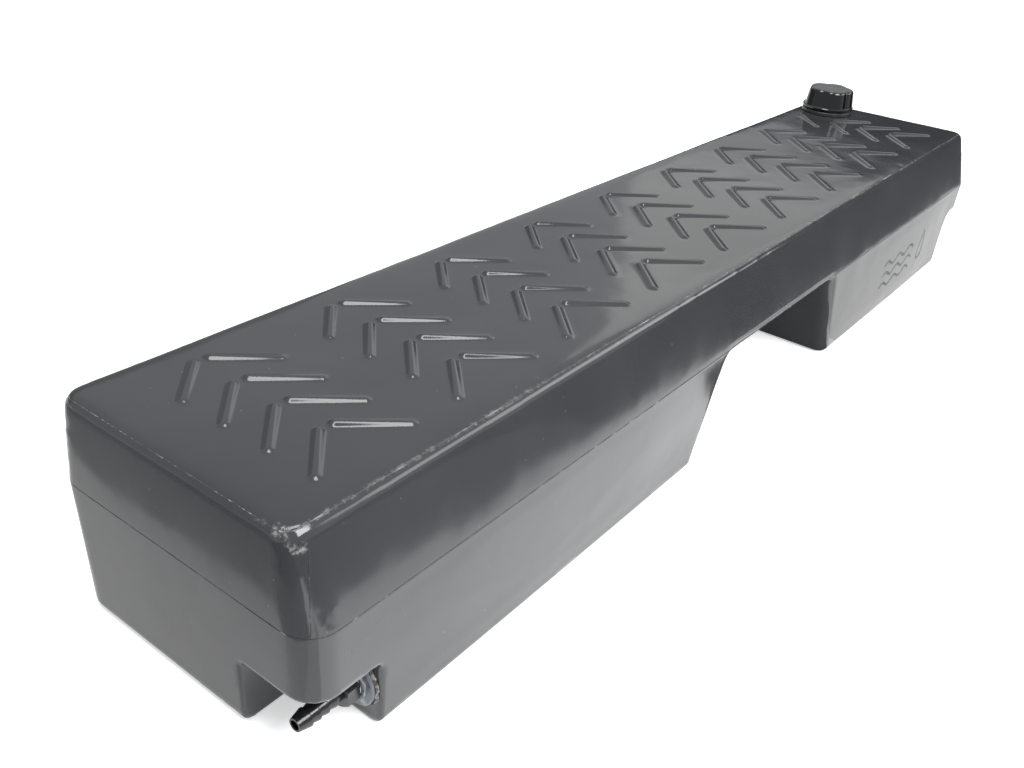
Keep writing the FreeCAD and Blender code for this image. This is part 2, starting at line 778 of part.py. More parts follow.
def make_vent_cover():
    """Shallow cup pressed into the top of the cap over the valve, with slots for the air."""
    floor = "Sizes.cap_top - Sizes.vent_depth"
    body = turned(
        "vent_cover",
        (
            ("Sizes.vent_radius - Sizes.vent_wall", floor),
            ("Sizes.vent_radius", floor),
            ("Sizes.vent_radius", "Sizes.cap_top - Sizes.vent_bevel"),
            ("Sizes.vent_radius - Sizes.vent_bevel", "Sizes.cap_top"),
            ("0", "Sizes.cap_top"),
            ("0", "Sizes.cap_top - Sizes.vent_wall"),
            ("Sizes.vent_radius - Sizes.vent_wall", "Sizes.cap_top - Sizes.vent_wall"),
        ),
    )
    slots = new_sketch(body, "vent_cover_Slots", offset="Sizes.cap_top")
    for side in ("-", ""):
        level = f"{side}Sizes.vent_slot_offset"
        rib(slots, ("-Sizes.vent_slot_reach", level), ("Sizes.vent_slot_reach", level), "Sizes.vent_slot / 2")
    pocket(body, "vent_cover_SlotCut", slots, "Sizes.vent_wall + Sizes.press_fit")
    place_at_filler(body)
    return body


# Outlet


def make_outlet_boss():
    """Threaded boss welded on the notch's wall, with a spigot into the tank."""
    body = turned(
        "outlet_boss",
        (
            ("Sizes.boss_bore", "-Sizes.boss_depth"),
            ("Sizes.boss_spigot", "-Sizes.boss_depth"),
            ("Sizes.boss_spigot", "0"),
            ("Sizes.boss_radius", "0"),
            ("Sizes.boss_radius", "Sizes.boss_thickness - Sizes.boss_bevel"),
            ("Sizes.boss_radius - Sizes.boss_bevel", "Sizes.boss_thickness"),
            ("Sizes.boss_collar", "Sizes.boss_thickness"),
            ("Sizes.boss_collar - Sizes.boss_collar_bevel", "Sizes.boss_thickness + Sizes.boss_collar_length"),
            ("Sizes.boss_bore", "Sizes.boss_thickness + Sizes.boss_collar_length"),
        ),
    )
    place_at_outlet(body)
    return body


def make_weld_bead():
    """Ring of melted plastic that the weld pushed out round the boss."""
    body = turned(
        "outlet_weld_bead",
        (
            ("Sizes.boss_radius + Sizes.fit", "0"),
            ("Sizes.bead_radius", "0"),
            ("Sizes.bead_radius - Sizes.bead_shoulder", "Sizes.bead_height / 2"),
            ("Sizes.bead_radius - Sizes.bead_crest", "Sizes.bead_height"),
            ("Sizes.boss_radius + Sizes.fit", "Sizes.bead_height"),
        ),
    )
    place_at_outlet(body)
    return body


def make_thread_tape():
    """The turns of sealing tape that show between the boss and the hose tail's hexagon."""
    face = "Sizes.boss_thickness + Sizes.boss_collar_length"
    body = turned(
        "thread_tape",
        (
            ("Sizes.tail_thread + Sizes.fit", face),
            ("Sizes.tape_radius", face),
            ("Sizes.tape_radius - Sizes.tape_bevel", f"{face} + Sizes.tape_length"),
            ("Sizes.tail_thread + Sizes.fit", f"{face} + Sizes.tape_length"),
        ),
    )
    place_at_outlet(body)
    return body


def hexagon(sketch, flats):
    """A hexagon about the axis with two flats facing up and down."""
    corners = []
    for i in range(6):
        reach = f"({flats}) / sqrt(3)"
        corners.append((f"{reach} * cos({60 * i})", f"{reach} * sin({60 * i})" if i % 3 else "0"))
    polygon(sketch, corners)


def make_hose_tail():
    """Threaded end, hexagon and barbed tail, with one bore through all of it."""
    seat = "Sizes.boss_thickness + Sizes.boss_collar_length + Sizes.tape_length"
    hex_end = f"{seat} + Sizes.hex_length"
    tip = f"{hex_end} + Sizes.tail_length"
    barbs = 4
    outline = [
        ("Sizes.tail_bore", f"{seat} - Sizes.tail_thread_length"),
        ("Sizes.tail_thread - Sizes.tail_thread_bevel", f"{seat} - Sizes.tail_thread_length"),
        ("Sizes.tail_thread", f"{seat} - Sizes.tail_thread_length + Sizes.tail_thread_bevel"),
        ("Sizes.tail_thread", seat),
        ("Sizes.barb_root", seat),
    ]
    for i in reversed(range(barbs)):
        shoulder = f"{tip} - Sizes.barb_tip_length - {i} * Sizes.barb_pitch"
        outline.append(("Sizes.barb_root", shoulder))
        outline.append(("Sizes.barb_radius", shoulder))
        outline.append(("Sizes.barb_radius", f"{shoulder} + Sizes.barb_land"))
        if i:
            outline.append(("Sizes.barb_root", f"{shoulder} + Sizes.barb_pitch - Sizes.barb_foot"))
    outline.append(("Sizes.barb_tip", tip))
    outline.append(("Sizes.tail_bore", tip))
    body = turned("hose_tail", outline)
    nut = new_sketch(body, "hose_tail_Nut", offset=seat)
    hexagon(nut, "Sizes.hex_flats")
    circle(nut, "0", "0", "Sizes.barb_root - Sizes.hex_margin")
    pad(body, "hose_tail_Hexagon", nut, "Sizes.hex_length")
    bevel = new_sketch(body, "hose_tail_Bevel", plane="XZ_Plane")
    corner = "Sizes.hex_flats / sqrt(3) + Sizes.hex_margin"
    polygon(
        bevel,
        (
            ("Sizes.hex_flats / 2", hex_end),
            (corner, f"{hex_end} - Sizes.hex_bevel"),
            (corner, f"{hex_end} + Sizes.hex_bevel"),
            ("Sizes.hex_flats / 2", f"{hex_end} + Sizes.hex_bevel"),
        ),
    )
    revolve(body, "hose_tail_Corners", bevel, "Z_Axis", kind="PartDesign::Groove")
    place_at_outlet(body)
    return body


nodes = [
    make_tank_shell(),
    make_filler_neck(),
    make_filler_cap(),
    make_cap_seal(),
    make_vent_valve(),
    make_vent_cover(),
    make_outlet_boss(),
    make_weld_bead(),
    make_thread_tape(),
    make_hose_tail(),
]
doc.recompute()


# Checks and files

for item in doc.Objects:
    if {"Invalid", "Error"} & set(item.State):
        raise RuntimeError(f"{item.Name} failed: {item.State}")
os.makedirs("parts", exist_ok=True)
for node in nodes:
    shape = node.Shape
    if shape.isNull() or not shape.isValid():
        raise RuntimeError(f"{node.Label} has no valid shape")
    print(f"{node.Label}: {len(shape.Solids)} solid, {shape.Volume / 1000:.1f} cm3, {shape.BoundBox}")
    shape.exportStep(f"parts/{node.Label}.step")
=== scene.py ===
import math

import bmesh
import bpy
import numpy as np
from mathutils import Matrix, Vector, noise
from mathutils.bvhtree import BVHTree
from mathutils.kdtree import KDTree


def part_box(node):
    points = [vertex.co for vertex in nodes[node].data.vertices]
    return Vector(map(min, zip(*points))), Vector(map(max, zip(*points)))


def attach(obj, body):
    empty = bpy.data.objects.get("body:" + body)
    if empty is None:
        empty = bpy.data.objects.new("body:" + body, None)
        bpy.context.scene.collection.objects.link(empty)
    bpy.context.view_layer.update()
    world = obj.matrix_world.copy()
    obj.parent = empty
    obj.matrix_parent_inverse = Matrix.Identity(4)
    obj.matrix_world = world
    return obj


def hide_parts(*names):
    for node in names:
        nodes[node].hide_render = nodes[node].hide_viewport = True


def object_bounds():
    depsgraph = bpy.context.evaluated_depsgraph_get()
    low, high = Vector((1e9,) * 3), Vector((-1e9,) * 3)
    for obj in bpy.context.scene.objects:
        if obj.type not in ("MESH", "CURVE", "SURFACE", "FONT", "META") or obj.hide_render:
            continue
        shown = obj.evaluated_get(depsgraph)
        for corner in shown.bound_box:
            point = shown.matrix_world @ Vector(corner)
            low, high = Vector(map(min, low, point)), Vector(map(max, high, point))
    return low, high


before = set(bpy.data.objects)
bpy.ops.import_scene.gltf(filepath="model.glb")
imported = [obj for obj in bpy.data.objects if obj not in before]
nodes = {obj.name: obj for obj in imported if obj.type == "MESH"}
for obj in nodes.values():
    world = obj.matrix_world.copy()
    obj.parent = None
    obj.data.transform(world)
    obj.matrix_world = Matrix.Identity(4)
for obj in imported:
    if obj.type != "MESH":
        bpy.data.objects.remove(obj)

# A fresh water tank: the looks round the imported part. Metres, in the part's own frame.

cad_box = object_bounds()
MM = 0.001

# Sizes that part.py also has, in metres
TOP = 0.200
PARTING = 0.122
ROW_PITCH, COLUMN_PITCH = 0.139, 0.045
FIRST_ROW, FIRST_COLUMN = -0.572, 0.085
ROWS, COLUMNS = 9, 4

WALL = 0.005
NOTCH_WALL = -0.607
FILLER_HOLE, OUTLET_HOLE = 0.0253, 0.0133

neck_low, neck_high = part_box("filler_neck")
boss_low, boss_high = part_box("outlet_boss")
FILLER = Vector(((neck_low.x + neck_high.x) / 2, (neck_low.y + neck_high.y) / 2, TOP))
OUTLET = Vector((NOTCH_WALL, (boss_low.y + boss_high.y) / 2, (boss_low.z + boss_high.z) / 2))


# Mesh helpers


def new_object(name, mesh):
    obj = bpy.data.objects.new(name, mesh)
    bpy.context.scene.collection.objects.link(obj)
    return obj


def apply_modifiers(obj):
    """Replaces the object's mesh by what its modifiers make of it."""
    bpy.context.view_layer.update()
    evaluated = obj.evaluated_get(bpy.context.evaluated_depsgraph_get())
    mesh = bpy.data.meshes.new_from_object(evaluated)
    obj.modifiers.clear()
    obj.data = mesh
    return obj


def smooth(obj, angle=None):
    """Smooth shading, with the edges over the angle kept sharp."""
    obj.data.shade_smooth()
    if angle is not None:
        obj.data.set_sharp_from_angle(angle=math.radians(angle))


def smoothstep(low, high, value):
    t = np.clip((value - low) / (high - low), 0, 1)
    return t * t * (3 - 2 * t)


def make_solid(name, verts, faces):
    """A mesh with all its faces turned outwards, as an object."""
    mesh = bpy.data.meshes.new(name)
    mesh.from_pydata(verts, [], faces)
    bm = bmesh.new()
    bm.from_mesh(mesh)
    bmesh.ops.recalc_face_normals(bm, faces=bm.faces)
    bm.to_mesh(mesh)
    bm.free()
    return new_object(name, mesh)


def tube_faces(sections, size, closed):
    """The faces between rings of size points each, in order, with an end cap each where it isn't closed."""
    faces = []
    for i in range(sections if closed else sections - 1):
        j = (i + 1) % sections
        for k in range(size):
            m = (k + 1) % size
            faces.append((i * size + k, i * size + m, j * size + m, j * size + k))
    if not closed:
        faces.append(tuple(range(size - 1, -1, -1)))
        faces.append(tuple((sections - 1) * size + k for k in range(size)))
    return faces


# Tread

# Each rib's spine starts beside the chevron's apex and runs as far along the tank as it runs across it.
RIB_START, RIB_RUN = 7.4 * MM, 37.4 * MM
RIB_HEIGHT, RIB_CREST, RIB_FOOT = 2.3 * MM, 1.1 * MM, 5.7 * MM
RIB_FILLET = 0.22
APEX_HEIGHT, LOST_HEIGHT = 1.14, 0.5
SWELL_HEIGHT, SWELL_FOOT = 0.45 * MM, 12 * MM


def tread_ribs():
    """Both ends of each rib's spine, on the tank's top. One rib is missing, beside the filler."""
    spines = []
    for row in range(ROWS):
        for column in range(COLUMNS):
            apex = FIRST_ROW + row * ROW_PITCH
            level = FIRST_COLUMN - column * COLUMN_PITCH
            for side in (1, -1):
                if row == ROWS - 1 and column == 0 and side == 1:
                    continue
                start = (apex + side * RIB_START, level)
                end = (apex + side * (RIB_START + RIB_RUN), level - RIB_RUN)
                spines.append((start, end))
    return spines


SPINES = np.array(tread_ribs())


def rib_distance(points):
    """Distance from each point to the nearest rib's spine, and how far along that spine it is."""
    best = np.full(len(points), 1.0)
    along = np.zeros(len(points))
    for start, end in SPINES:
        run = end - start
        away = points - start
        t = np.clip(away @ run / (run @ run), 0, 1)
        distance = np.linalg.norm(away - t[:, None] * run, axis=1)
        nearer = distance < best
        best[nearer] = distance[nearer]
        along[nearer] = t[nearer]
    return best, along


def straight_flank(t):
    """A rise from 0 to 1 that is straight in its middle and has a fillet at each end."""
    t = np.clip(t, 0, 1)
    slope = 1 / (1 - RIB_FILLET)
    low = slope * t * t / (2 * RIB_FILLET)
    middle = slope * (t - RIB_FILLET / 2)
    high = 1 - slope * (1 - t) ** 2 / (2 * RIB_FILLET)
    return np.where(t < RIB_FILLET, low, np.where(t > 1 - RIB_FILLET, high, middle))


def rib_lift(distance, along):
    """Height of the tread over the top plane: a crisp ridge on a low soft swell, lower at its outer end."""
    ridge = straight_flank((RIB_FOOT - distance) / (RIB_FOOT - RIB_CREST))
    fade = APEX_HEIGHT - LOST_HEIGHT * along
    swell = (1 - np.clip(distance / SWELL_FOOT, 0, 1)) ** 2
    return RIB_HEIGHT * ridge * fade + SWELL_HEIGHT * swell


# Shell

VOXEL = 4.5 * MM
ROUNDING_TURN = math.radians(7)
TREAD_REACHES = (13 * MM, 9.5 * MM)
# The top edge's rounding is worn softer, from these distances outwards.
EDGE_BAND, EDGE_X, EDGE_Y = 30 * MM, 0.635, 0.105
EDGE_ROUNDS = 26
# How far the blown walls lie inside the moulded outline, and how much that comes and goes
SINK, SINK_WAVE, SINK_RIPPLE = 0.35 * MM, 0.45 * MM, 0.10 * MM
LEAST_SINK, MOST_SINK = 0.1 * MM, 1.5 * MM
LOBE_ENDS = ((-0.668, -0.15), (0.19, 0.612))
LOBE_SWELL = 2.2 * MM
BOX_MARGIN = 0.1 * MM
HOLE_REACH = 0.03


def cad_skins(node):
    """The node's outer and inner skins as two bmeshes, without the walls of the two drilled holes."""
    bm = bmesh.new()
    bm.from_mesh(node.data)
    bmesh.ops.remove_doubles(bm, verts=bm.verts, dist=2e-6)
    bm.faces.ensure_lookup_table()

    def hole_wall(face):
        c = face.calc_center_median()
        at_filler = math.hypot(c.x - FILLER.x, c.y - FILLER.y) < FILLER_HOLE + 0.3 * MM
        at_outlet = math.hypot(c.y - OUTLET.y, c.z - OUTLET.z) < OUTLET_HOLE + 0.3 * MM
        return (at_filler and TOP - WALL - MM < c.z < TOP + MM) or (
            at_outlet and NOTCH_WALL - MM < c.x < NOTCH_WALL + WALL + MM
        )

    walls = {f.index for f in bm.faces if hole_wall(f)}
    lowest = min(bm.faces, key=lambda f: f.calc_center_median().z)
    outer, todo = {lowest.index}, [lowest]
    while todo:
        for edge in todo.pop().edges:
            for face in edge.link_faces:
                if face.index not in outer and face.index not in walls:
                    outer.add(face.index)
                    todo.append(face)
    skins = []
    for keep in (lambda i: i in outer, lambda i: i not in outer and i not in walls):
        skin = bm.copy()
        skin.faces.ensure_lookup_table()
        gone = [f for f in skin.faces if not keep(f.index)]
        bmesh.ops.delete(skin, geom=gone, context="FACES")
        skins.append(skin)
    bm.free()
    return skins


def subdivide_where(bm, test):
    """One cut across each edge of the faces that pass the test."""
    edges = {e for f in bm.faces if test(f) for e in f.edges}
    bmesh.ops.subdivide_edges(bm, edges=list(edges), cuts=1, use_grid_fill=True)


def dense_skin(skin):
    """The outer skin in small even faces, finer on the roundings and the tread."""
    for v in skin.verts:
        v.co.z = min(v.co.z, TOP)
    bmesh.ops.holes_fill(skin, edges=[e for e in skin.edges if e.is_boundary], sides=0)
    bmesh.ops.triangulate(skin, faces=skin.faces)
    source = bpy.data.meshes.new("skin_source")
    skin.to_mesh(source)
    tree = BVHTree.FromBMesh(skin)
    skin.free()
    obj = new_object("tank_shell_visual", source)
    remesh = obj.modifiers.new("voxels", "REMESH")
    remesh.mode = "VOXEL"
    remesh.voxel_size = VOXEL
    remesh.use_smooth_shade = True
    apply_modifiers(obj)
    bm = bmesh.new()
    bm.from_mesh(obj.data)

    def on_rounding(face):
        normals = [tree.find_nearest(v.co)[1] for v in face.verts]
        return min(normals[0].dot(n) for n in normals[1:]) < math.cos(ROUNDING_TURN)

    def snap():
        for v in bm.verts:
            v.co = tree.find_nearest(v.co)[0]

    snap()
    subdivide_where(bm, on_rounding)
    snap()
    band = [v for v in bm.verts if v.co.z > TOP - EDGE_BAND]
    edge = [v for v in band if abs(v.co.x) > EDGE_X or abs(v.co.y) > EDGE_Y]
    for _ in range(EDGE_ROUNDS):
        bmesh.ops.smooth_vert(bm, verts=edge, factor=0.5, use_axis_x=True, use_axis_y=True, use_axis_z=True)
    for reach in TREAD_REACHES:
        flat = [f for f in bm.faces if f.normal.z > 0.9 and f.calc_center_median().z > TOP - MM]
        centres = np.array([f.calc_center_median()[:2] for f in flat])
        near = rib_distance(centres)[0] < reach
        chosen = {f for f, close in zip(flat, near) if close}
        subdivide_where(bm, lambda f: f in chosen)
    return obj, bm


def shape_skin(bm):
    """Adds the tread, the swell of the blown walls and their slight waviness."""
    bm.normal_update()
    co = np.array([v.co for v in bm.verts])
    normals = np.array([v.normal for v in bm.verts])
    x, y, z = co.T
    top = z > TOP - 0.2 * MM
    wave = np.array([noise.fractal(Vector(p) * 7.0, 1.0, 2.0, 2) for p in co])
    ripple = np.array([noise.noise(Vector(p) * 28.0 + Vector((5, 3, 1))) for p in co])
    inward = SINK + SINK_WAVE * (wave + 0.6) + SINK_RIPPLE * ripple
    inward = np.clip(inward, LEAST_SINK, MOST_SINK)
    inward *= smoothstep(0.0, 0.012, z) * 0.8 + 0.2
    co -= normals * inward[:, None]
    lift = np.zeros(len(co))
    distance, along = rib_distance(co[:, :2])
    lift[top] = rib_lift(distance[top], along[top])
    co[:, 2] += lift
    # The lobes' long walls swell at mid-length, below the parting line.
    for x0, x1 in LOBE_ENDS:
        middle = np.sin(np.pi * np.clip((x - x0) / (x1 - x0), 0, 1))
        up = smoothstep(0.0, 0.03, z) * (1 - smoothstep(0.07, PARTING, z)) * 0.6
        low = 0.4 * (1 - smoothstep(0.1, PARTING, z))
        wall = smoothstep(0.8, 0.98, np.abs(normals[:, 1]))
        co[:, 1] += np.sign(normals[:, 1]) * LOBE_SWELL * middle * (up + low) * wall
    for axis in (0, 1):
        co[:, axis] = np.clip(co[:, axis], cad_box[0][axis] + BOX_MARGIN, cad_box[1][axis] - BOX_MARGIN)
    for v, p in zip(bm.verts, co):
        v.co = p


def open_hole(bm, centre, axis, radius):
    """Cuts a round hole in the skin."""
    across = [i for i in range(3) if i != axis]

    def reach(v):
        return math.hypot(v.co[across[0]] - centre[across[0]], v.co[across[1]] - centre[across[1]])

    level = centre[axis]
    gone = [
        f
        for f in bm.faces
        if abs(f.calc_center_median()[axis] - level) < 3 * MM and min(reach(v) for v in f.verts) < radius
    ]
    rim = {v for f in gone for v in f.verts}
    bmesh.ops.delete(bm, geom=gone, context="FACES")
    rim = [v for v in rim if v.is_valid and v.is_boundary]
    for v in rim:
        scale = radius / reach(v)
        for i in across:
            v.co[i] = centre[i] + (v.co[i] - centre[i]) * scale
        v.co[axis] = level


def make_shell():
    """The tank's shell: the remade outer skin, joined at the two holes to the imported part's inner skin."""
    outer, inner = cad_skins(nodes["tank_shell"])
    obj, bm = dense_skin(outer)
    shape_skin(bm)
    holes = ((FILLER, 2, FILLER_HOLE), (OUTLET, 0, OUTLET_HOLE))
    for hole in holes:
        open_hole(bm, *hole)
    hidden = bpy.data.meshes.new("hidden")
    inner.to_mesh(hidden)
    bm.from_mesh(hidden)
    loops = [e for e in bm.edges if e.is_boundary]

    def near_axis(edge, centre, axis):
        middle = (edge.verts[0].co + edge.verts[1].co) / 2 - centre
        middle[axis] = 0
        return middle.length < HOLE_REACH

    for centre, axis, _ in holes:
        pair = [e for e in loops if near_axis(e, centre, axis)]
        bmesh.ops.bridge_loops(bm, edges=pair)
    bmesh.ops.recalc_face_normals(bm, faces=bm.faces)
    bm.to_mesh(obj.data)
    bm.free()
    inner.free()
    smooth(obj)
    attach(obj, "tank")
    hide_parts("tank_shell")
    return obj


# Flash and parting lines, and the emblem

ROUNDING = 0.011
RAY_START, RAY_REACH, RAY_STEP = 0.06, 0.2, 2.5 * MM
CORNER_RAYS = 14
# Half-widths of the rectangles from whose sides the rays start
SEAM_X, SEAM_Y = 0.640, 0.108
FLASH_X, FLASH_Y = 0.6575, 0.1075
FLASH_TILT = math.radians(40)
CORNER_POINTS = 30
SCUFF_CORE, SCUFF_WIDTH = 0.4 * MM, 4.5 * MM
FRONT_SCUFF, OTHER_SCUFF, FRONT_Y = 0.42, 0.15, -0.09
# Painted highlight: pale spots on the worn near top corner, standing in for light off its dents.
CORNER_HIGHLIGHT = 0.8
HIGHLIGHT_SPOTS = (
    (Vector((-0.664, -0.110, 0.193)), 9 * MM),
    (Vector((-0.662, -0.115, 0.190)), 8 * MM),
    (Vector((-0.660, -0.119, 0.186)), 9 * MM),
)
EMBLEM_WAVES = 3
WAVE_X, WAVE_Z, WAVE_GAP = 0.355, 0.042, 0.016
WAVE_STEP, WAVE_TURN, WAVE_POINTS, WAVE_HEIGHT = 2.5 * MM, 0.35, 48, 4 * MM
DROP_X, DROP_Z, DROP_POINTS = 0.512, 0.064, 60
DROP_HALF_WIDTH, DROP_HALF_HEIGHT = 15 * MM, 22 * MM


def round_the_tank(level, tilt, half_x, half_y):
    """Rays aimed at the skin all round the tank: start and direction, tilted up from level by an angle."""
    rays = []
    flat = Vector((0, 0, math.sin(tilt)))

    def add(x, y, turn):
        out = Vector((math.cos(turn), math.sin(turn), 0)) * math.cos(tilt) + flat
        rays.append((Vector((x, y, level)) + out * RAY_START, -out))

    corners = ((half_x, half_y), (-half_x, half_y), (-half_x, -half_y), (half_x, -half_y))
    for index, (x, y) in enumerate(corners):
        start = index * math.pi / 2
        for i in range(CORNER_RAYS):
            add(x, y, start + math.pi / 2 * i / CORNER_RAYS)
        next_x, next_y = corners[(index + 1) % 4]
        span = math.hypot(next_x - x, next_y - y)
        count = int(span / RAY_STEP)
        for i in range(count):
            t = i / count
            add(x + (next_x - x) * t, y + (next_y - y) * t, start + math.pi / 2)
    return rays


def cast(tree, rays):
    """Where the rays meet the skin, as pairs of a point and the outward normal."""
    found = []
    for start, direction in rays:
        point, normal, _, _ = tree.ray_cast(start, direction, RAY_REACH)
        if point is not None:
            found.append((point, normal if normal.dot(direction) < 0 else -normal))
    return found


def ridge(name, line, closed, width, height, material):
    """A thin raised line on the skin, with a low round section whose size comes and goes."""
    sections = []
    count = len(line)
    for i, (point, normal) in enumerate(line):
        ahead = line[(i + 1) % count][0] if closed or i + 1 < count else point
        behind = line[i - 1][0] if closed or i else point
        along = (ahead - behind).normalized()
        side = normal.cross(along).normalized()
        grown = 0.55 + 0.5 * noise.noise(point * 45) + 0.35 * noise.noise(point * 160)
        tall, wide = height * max(0.12, grown), width * (0.8 + 0.25 * noise.noise(point * 90))
        section = []
        for a in (-1, -0.5, 0, 0.5, 1):
            section.append(point + side * (wide / 2 * a) + normal * (tall * (1 - a * a)))
        section.append(point - normal * 0.3 * MM)
        sections.append(section)
    verts = [v for section in sections for v in section]
    for v in verts:
        v.y = min(max(v.y, cad_box[0].y + 0.05 * MM), cad_box[1].y - 0.05 * MM)
    obj = make_solid(name, verts, tube_faces(count, len(sections[0]), closed))
    smooth(obj, 60)
    paint(obj, material)
    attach(obj, "tank")


def mark_scuffs(obj, line):
    """Stores how scuffed each point of the shell is along the front flash line, and a painted highlight on
    the worn near corner.
    """
    tree = KDTree(len(line))
    for i, (point, _) in enumerate(line):
        tree.insert(point, i)
    tree.balance()
    values = np.zeros(len(obj.data.vertices), np.float32)
    wear_and_highlight = np.zeros(len(obj.data.vertices), np.float32)
    for i, vertex in enumerate(obj.data.vertices):
        co = vertex.co
        if co.z < TOP - EDGE_BAND:
            continue
        near_line = float(1 - smoothstep(SCUFF_CORE, SCUFF_WIDTH, tree.find(co)[2]))
        values[i] = near_line * (FRONT_SCUFF if co.y < FRONT_Y else OTHER_SCUFF)
        ragged = 4 * MM * noise.noise(co * 110) + 2 * MM * noise.noise(co * 320)
        wear_and_highlight[i] = CORNER_HIGHLIGHT * max(
            1 - smoothstep(0, size, (co - centre).length + ragged) for centre, size in HIGHLIGHT_SPOTS
        )
    for name, numbers in (("scuff", values), ("corner_highlight", wear_and_highlight)):
        attribute = obj.data.attributes.new(name, "FLOAT", "POINT")
        attribute.data.foreach_set("value", numbers)


def add_emblem(tree):
    """Three raised waves and a drop on the far lobe's front."""

    def on_front(places):
        return cast(tree, [(Vector((x, -RAY_REACH, z)), Vector((0, 1, 0))) for x, z in places])

    for index in range(EMBLEM_WAVES):
        level = WAVE_Z + WAVE_GAP * index
        wave = []
        for i in range(WAVE_POINTS):
            wave.append((WAVE_X + WAVE_STEP * i, level + WAVE_HEIGHT * math.sin(WAVE_TURN * i)))
        ridge(f"emblem_wave_{index + 1}", on_front(wave), False, 5 * MM, 0.5 * MM, dull_mark())
    drop = []
    for i in range(DROP_POINTS):
        turn = 2 * math.pi * i / DROP_POINTS
        pinch = math.sin(turn / 2) ** 1.5
        x = DROP_X + DROP_HALF_WIDTH * math.sin(turn) * pinch
        drop.append((x, DROP_Z + DROP_HALF_HEIGHT * math.cos(turn)))
    ridge("emblem_drop", on_front(drop), True, 3.5 * MM, 0.5 * MM, dull_mark())


def add_lines(shell):
    """The parting line, the trimmed flash along the top edge and down the near corner, and the emblem."""
    bpy.context.view_layer.update()
    tree = BVHTree.FromObject(shell, bpy.context.evaluated_depsgraph_get())
    parting = cast(tree, round_the_tank(PARTING, 0.0, SEAM_X, SEAM_Y))
    ridge("parting_line", parting, True, 1.3 * MM, 0.35 * MM, seam_plastic())
    flash = cast(tree, round_the_tank(TOP - ROUNDING, FLASH_TILT, FLASH_X, FLASH_Y))
    ridge("top_flash", flash, True, 0.7 * MM, 0.25 * MM, flash_plastic())
    out = Vector((-1, -1, 0)).normalized()
    corner = []
    for i in range(CORNER_POINTS):
        z = PARTING + 2 * MM + (TOP - 14 * MM - PARTING) * i / (CORNER_POINTS - 1)
        corner.append((Vector((-SEAM_X, -SEAM_Y, z)) + out * RAY_START, -out))
    ridge("corner_flash", cast(tree, corner), False, 0.9 * MM, 0.25 * MM, seam_plastic())
    mark_scuffs(shell, flash)
    add_emblem(tree)


# Materials


class Nodes:
    """Short calls for building a material's nodes."""

    def __init__(self, name):
        self.material = bpy.data.materials.new(name)
        self.material.use_nodes = True
        self.tree = self.material.node_tree
        self.shader = self.tree.nodes["Principled BSDF"]
        self.place = self.tree.nodes.new("ShaderNodeTexCoord").outputs["Object"]

    def link(self, source, target):
        self.tree.links.new(source, target)

    def stretched(self, scale):
        node = self.tree.nodes.new("ShaderNodeMapping")
        node.inputs["Scale"].default_value = scale
        self.link(self.place, node.inputs["Vector"])
        return node.outputs["Vector"]

    def noise(self, scale, detail=3, rough=0.5, vector=None):
        node = self.tree.nodes.new("ShaderNodeTexNoise")
        node.inputs["Scale"].default_value = scale
        node.inputs["Detail"].default_value = detail
        node.inputs["Roughness"].default_value = rough
        self.link(vector or self.place, node.inputs["Vector"])
        return node.outputs["Fac"]

    def ramp(self, value, low, high, to_low=0.0, to_high=1.0):
        node = self.tree.nodes.new("ShaderNodeMapRange")
        node.interpolation_type = "SMOOTHSTEP"
        for name, number in (("From Min", low), ("From Max", high), ("To Min", to_low), ("To Max", to_high)):
            node.inputs[name].default_value = number
        self.link(value, node.inputs["Value"])
        return node.outputs["Result"]

    def math(self, kind, a, b):
        node = self.tree.nodes.new("ShaderNodeMath")
        node.operation = kind
        for socket, value in zip(node.inputs, (a, b)):
            if isinstance(value, (int, float)):
                socket.default_value = value
            else:
                self.link(value, socket)
        return node.outputs["Value"]

    def mix(self, factor, a, b):
        node = self.tree.nodes.new("ShaderNodeMix")
        node.data_type = "RGBA"
        self.link(factor, node.inputs["Factor"])
        for socket, value in ((node.inputs["A"], a), (node.inputs["B"], b)):
            if isinstance(value, tuple):
                socket.default_value = (*value, 1)
            else:
                self.link(value, socket)
        return node.outputs["Result"]

    def attribute(self, name):
        node = self.tree.nodes.new("ShaderNodeAttribute")
        node.attribute_name = name
        return node.outputs["Fac"]

    def relief(self, height, strength, distance, below=None):
        node = self.tree.nodes.new("ShaderNodeBump")
        node.inputs["Strength"].default_value = strength
        node.inputs["Distance"].default_value = distance
        self.link(height, node.inputs["Height"])
        if below is not None:
            self.link(below, node.inputs["Normal"])
        return node.outputs["Normal"]


